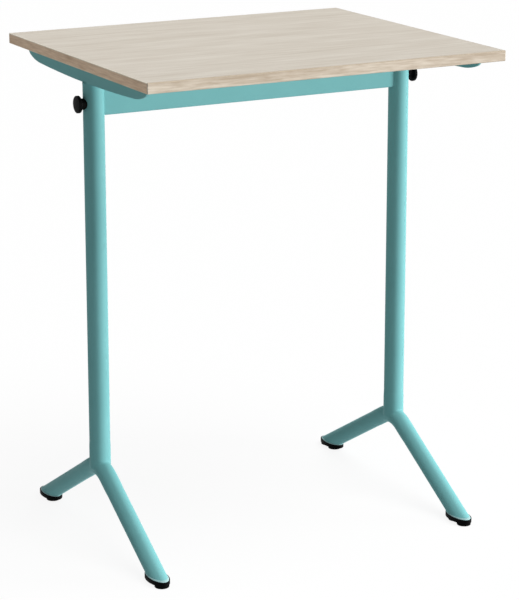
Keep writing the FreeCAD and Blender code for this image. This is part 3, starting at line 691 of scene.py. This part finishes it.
# %% [markdown]
# ## The rim above each foot
# The leg tube is cut level, which makes its end an oval, and the cut edge is rolled over before it is
# painted. The rim shows as a fine light line above the black foot: its rounding catches the light, and its
# paler coat is a painted highlight. It starts as a circle, which is stretched to the oval of the cut. A few
# extrusions, each a little wider or narrower, then draw its rounded section up the slope of the leg, and a
# bridge closes it on the inside. A torus would not follow that slope.

# %% The front left rim
OVAL_STRETCH = 1 / math.sin(LEG_ANGLE)
LEG_LEAN = 1 / math.tan(LEG_ANGLE)
RIM_SIDES = 96
RIM_START = -0.6 * MM
RIM_SECTION = ((0.5, 0.0), (0.8, 0.6), (0.8, 1.4), (0.5, 2.1), (0.0, 2.5), (-0.6, 2.6))
HAIR = 0.01 * MM


def leg_rim(x, reach, cut):
    """The rolled edge of a front leg, at the place of the cut's middle."""
    deselect_all()
    bpy.ops.mesh.primitive_circle_add(vertices=RIM_SIDES, radius=LEG_RADIUS + RIM_START,
                                      location=(x, reach, cut), enter_editmode=True)
    piece = bpy.context.object
    bpy.ops.transform.resize(value=(1, OVAL_STRETCH, 1), center_override=(x, reach, cut))
    width, level = RIM_START, 0.0
    for proud, height in RIM_SECTION:
        new_width, new_level = proud * MM, height * MM
        up = new_level - level
        wider = (LEG_RADIUS + new_width) / (LEG_RADIUS + width)
        centre = (x, reach + new_level * LEG_LEAN, cut + new_level)
        extrude_ring((0, up * LEG_LEAN, up), (wider, wider, 1), centre)
        width, level = new_width, new_level
    bpy.ops.object.mode_set(mode="OBJECT")

    def inside(place):
        return math.hypot(place.x - x, (place.y - reach) / OVAL_STRETCH) < LEG_RADIUS

    def in_the_tube(place):
        return abs(place.z - cut) < HAIR and inside(place) or place.z > cut + level - HAIR

    select_points(piece, in_the_tube)
    bpy.ops.mesh.bridge_edge_loops()
    bpy.ops.mesh.select_all(action="SELECT")
    bpy.ops.mesh.normals_make_consistent(inside=False)
    bpy.ops.object.mode_set(mode="OBJECT")
    settle()
    apply_modifier(piece, "SUBSURF", levels=1, render_levels=1)
    bpy.ops.object.shade_smooth()
    return piece


cap_middle = middle_of("front_left_foot_cap")[0]
front_left = leg_rim(cap_middle.x, cap_middle.y, LEG_CUT)
print(f"rim at {LEG_CUT / MM:.1f} mm")

# %% [markdown]
# ## The other three rims
# The front right rim is a plain copy, moved across. The rear ones lean the other way, so they are half-turned
# copies of the front ones.

# %% Leg rims
front_right = copy_piece(front_left, step=(-2 * cap_middle.x, 0, 0))
rear_right = copy_piece(front_left, turned=True)
rear_left = copy_piece(front_right, turned=True)
# The rims get the paler coat, a painted highlight.
hand_over(front_left, "front_left_leg_rim", rim_highlight_paint)
hand_over(front_right, "front_right_leg_rim", rim_highlight_paint)
hand_over(rear_left, "rear_left_leg_rim", rim_highlight_paint)
hand_over(rear_right, "rear_right_leg_rim", rim_highlight_paint)

# %% [markdown]
# ## One board screw
# Four pan-head wood screws go up through the flange of each bearer into the board, and only their heads show,
# from below. A screw is turned from a cylinder: its lower edge is bevelled to the pan, and its upper face is
# extruded into the shank and the point. Two thin bars cut the cross for the driver, with a boolean, because
# the corners of a driver's cross are sharp.

# %% A board screw
HEAD_HEIGHT = 2.6 * MM
HEAD_SIDES = 48
PAN_BEVEL = 1.3 * MM
PAN_SEGMENTS = 5
SHANK_RADIUS = 2.25 * MM
POINT_LENGTH = 3.5 * MM
POINT_SCALE = 0.15
CROSS_LENGTH = 3.6 * MM
CROSS_WIDTH = 0.9 * MM
CROSS_DEPTH = 1.4 * MM


def cut_bar(screw, place, size):
    """Cut one bar of the cross out of a screw's head."""
    deselect_all()
    bpy.ops.mesh.primitive_cube_add(size=1, location=place, scale=size)
    bar = bpy.context.object
    bpy.context.view_layer.objects.active = screw
    apply_modifier(screw, "BOOLEAN", operation="DIFFERENCE", solver="EXACT", object=bar)
    bpy.data.objects.remove(bar)


def board_screw(x, y, low, high, radius):
    """One screw, with its head below and its point above."""
    deselect_all()
    bpy.ops.mesh.primitive_cylinder_add(vertices=HEAD_SIDES, radius=radius, depth=HEAD_HEIGHT,
                                        location=(x, y, low + HEAD_HEIGHT / 2))
    screw = bpy.context.object
    under_head = low + HEAD_HEIGHT
    select_points(screw, lambda place: place.z < under_head - HEAD_HEIGHT / 2)
    bpy.ops.mesh.bevel(offset=PAN_BEVEL, segments=PAN_SEGMENTS, affect="EDGES")
    bpy.ops.object.mode_set(mode="OBJECT")
    select_points(screw, lambda place: place.z > under_head - HAIR)
    shank_length = high - under_head - POINT_LENGTH
    for up, scale in ((0.0, SHANK_RADIUS / radius), (shank_length, 1.0), (POINT_LENGTH, POINT_SCALE)):
        extrude_face((0, 0, up), (scale, scale, 1), (x, y, high))
    bpy.ops.object.mode_set(mode="OBJECT")
    cut_bar(screw, (x, y, low), (CROSS_LENGTH, CROSS_WIDTH, 2 * CROSS_DEPTH))
    cut_bar(screw, (x, y, low), (CROSS_WIDTH, CROSS_LENGTH, 2 * CROSS_DEPTH))
    return screw


left_low, left_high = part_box("left_board_screws")
head_radius = (left_high.x - left_low.x) / 2
row_front, row_rear = left_low.y + head_radius, left_high.y - head_radius
model = board_screw(left_low.x + head_radius, row_front, left_low.z, left_high.z, head_radius)
print(f"board screw: {len(model.data.polygons)} faces")

# %% [markdown]
# ## The rows of board screws
# All eight screws are copies of that one. The four of a side are joined into one piece, which takes the
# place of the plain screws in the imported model, and the one they were copied from is then removed.

# %% Board screws
ROW_STEP = 135 * MM
SMOOTH_ANGLE = math.radians(30)
ROW = (row_front, row_front + ROW_STEP, row_rear - ROW_STEP, row_rear)

right_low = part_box("right_board_screws")[0]
for side, across in (("right", right_low.x - left_low.x), ("left", 0.0)):
    copies = [copy_piece(model, step=(across, y - row_front, 0)) for y in ROW]
    screws = join_pieces(*copies)
    bpy.ops.object.shade_smooth_by_angle(angle=SMOOTH_ANGLE)
    hand_over(screws, f"{side}_board_screws_detail", zinc)
    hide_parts(f"{side}_board_screws")
bpy.data.objects.remove(model)

# %% [markdown]
# ## The floor
# The desk stands in a white studio. The floor is a plain pale plane that keeps the soft shadow. It glows
# a little, for the light that a white floor sends back, and it is lifted to white for the camera and for
# reflections only, so that the white costs no extra light on the desk.

# %% Floor
FLOOR_SIZE = 80.0
FLOOR_ALBEDO = 0.1
FLOOR_GLOW = 0.42
FLOOR_LIFT = 0.9


def seen_directly(wire):
    """1 where the camera looks, straight or by a mirror or through glass, and 0 where light only bounces."""
    straight = wire.node("LightPath", {}, "Is Camera Ray")
    mirrored = wire.node("LightPath", {}, "Is Glossy Ray")
    through = wire.node("LightPath", {}, "Is Transmission Ray")
    return wire.math("MAXIMUM", straight, wire.math("MAXIMUM", mirrored, through))


deselect_all()
bpy.ops.mesh.primitive_plane_add(size=FLOOR_SIZE)
floor = bpy.context.object
floor.name = "studio_floor"
material, wire = new_finish("studio_floor_finish")
lifted = wire.node("Emission", {"Strength": FLOOR_GLOW + seen_directly(wire) * (FLOOR_LIFT - FLOOR_GLOW)})
matt = wire.node("BsdfDiffuse", {"Color": (FLOOR_ALBEDO, FLOOR_ALBEDO, FLOOR_ALBEDO, 1.0)})
wire.node("OutputMaterial", {"Surface": wire.node("AddShader", {0: matt, 1: lifted})})
floor.data.materials.append(material)
print("floor laid")

# %% [markdown]
# ## The world
# A white room sends weak light from all sides. The camera and reflections see it as full white, and the desk
# gets only the weak share, so that its shaded sides stay dark.

# %% World
SKY_LIGHT = 0.16
WHITE = (1.0, 1.0, 1.0, 1.0)

world = bpy.data.worlds.new("studio_world")
bpy.context.scene.world = world
world.use_nodes = True
world.node_tree.nodes.clear()
wire = Wire(world.node_tree)
strength = SKY_LIGHT + seen_directly(wire) * (1 - SKY_LIGHT)
sky = wire.node("Background", {"Color": WHITE, "Strength": strength})
wire.node("OutputWorld", {"Surface": sky})
print(f"sky light {SKY_LIGHT}")

# %% [markdown]
# ## The lamps
# A long low lamp stands on the right and leaves the left sides of the tubes in shade. A broad one hangs
# overhead, to the front right. It lights the board, which keeps most of its light off the columns and the
# rear legs. A level of 1 is the light at which white card that faces the lamp is just white.

# %% Lamps
KEY_AZIMUTH = math.radians(57)
KEY_DISTANCE = 15.0
KEY_HEIGHT = 0.8
KEY_LEVEL = 1.2
KEY_SIZE = (6.0, 1.4)
TOP_AZIMUTH = math.radians(40)
TOP_ELEVATION = math.radians(64)
TOP_SPREAD = math.radians(50)
TOP_LEVEL = 0.84

key_place = (KEY_DISTANCE * math.sin(KEY_AZIMUTH), -KEY_DISTANCE * math.cos(KEY_AZIMUTH), KEY_HEIGHT)
bpy.ops.object.light_add(type="AREA", location=key_place, rotation=(math.pi / 2, 0, KEY_AZIMUTH))
key = bpy.context.object
key.name = "key_lamp"
key.data.shape = "RECTANGLE"
key.data.size, key.data.size_y = KEY_SIZE
key.data.energy = KEY_LEVEL * math.pi ** 2 * KEY_DISTANCE ** 2

bpy.ops.object.light_add(type="SUN", rotation=(math.pi / 2 - TOP_ELEVATION, 0, TOP_AZIMUTH))
top_lamp = bpy.context.object
top_lamp.name = "top_lamp"
top_lamp.data.angle = TOP_SPREAD
top_lamp.data.energy = TOP_LEVEL * math.pi

bpy.context.scene.view_settings.view_transform = "Standard"
print("lamps lit")
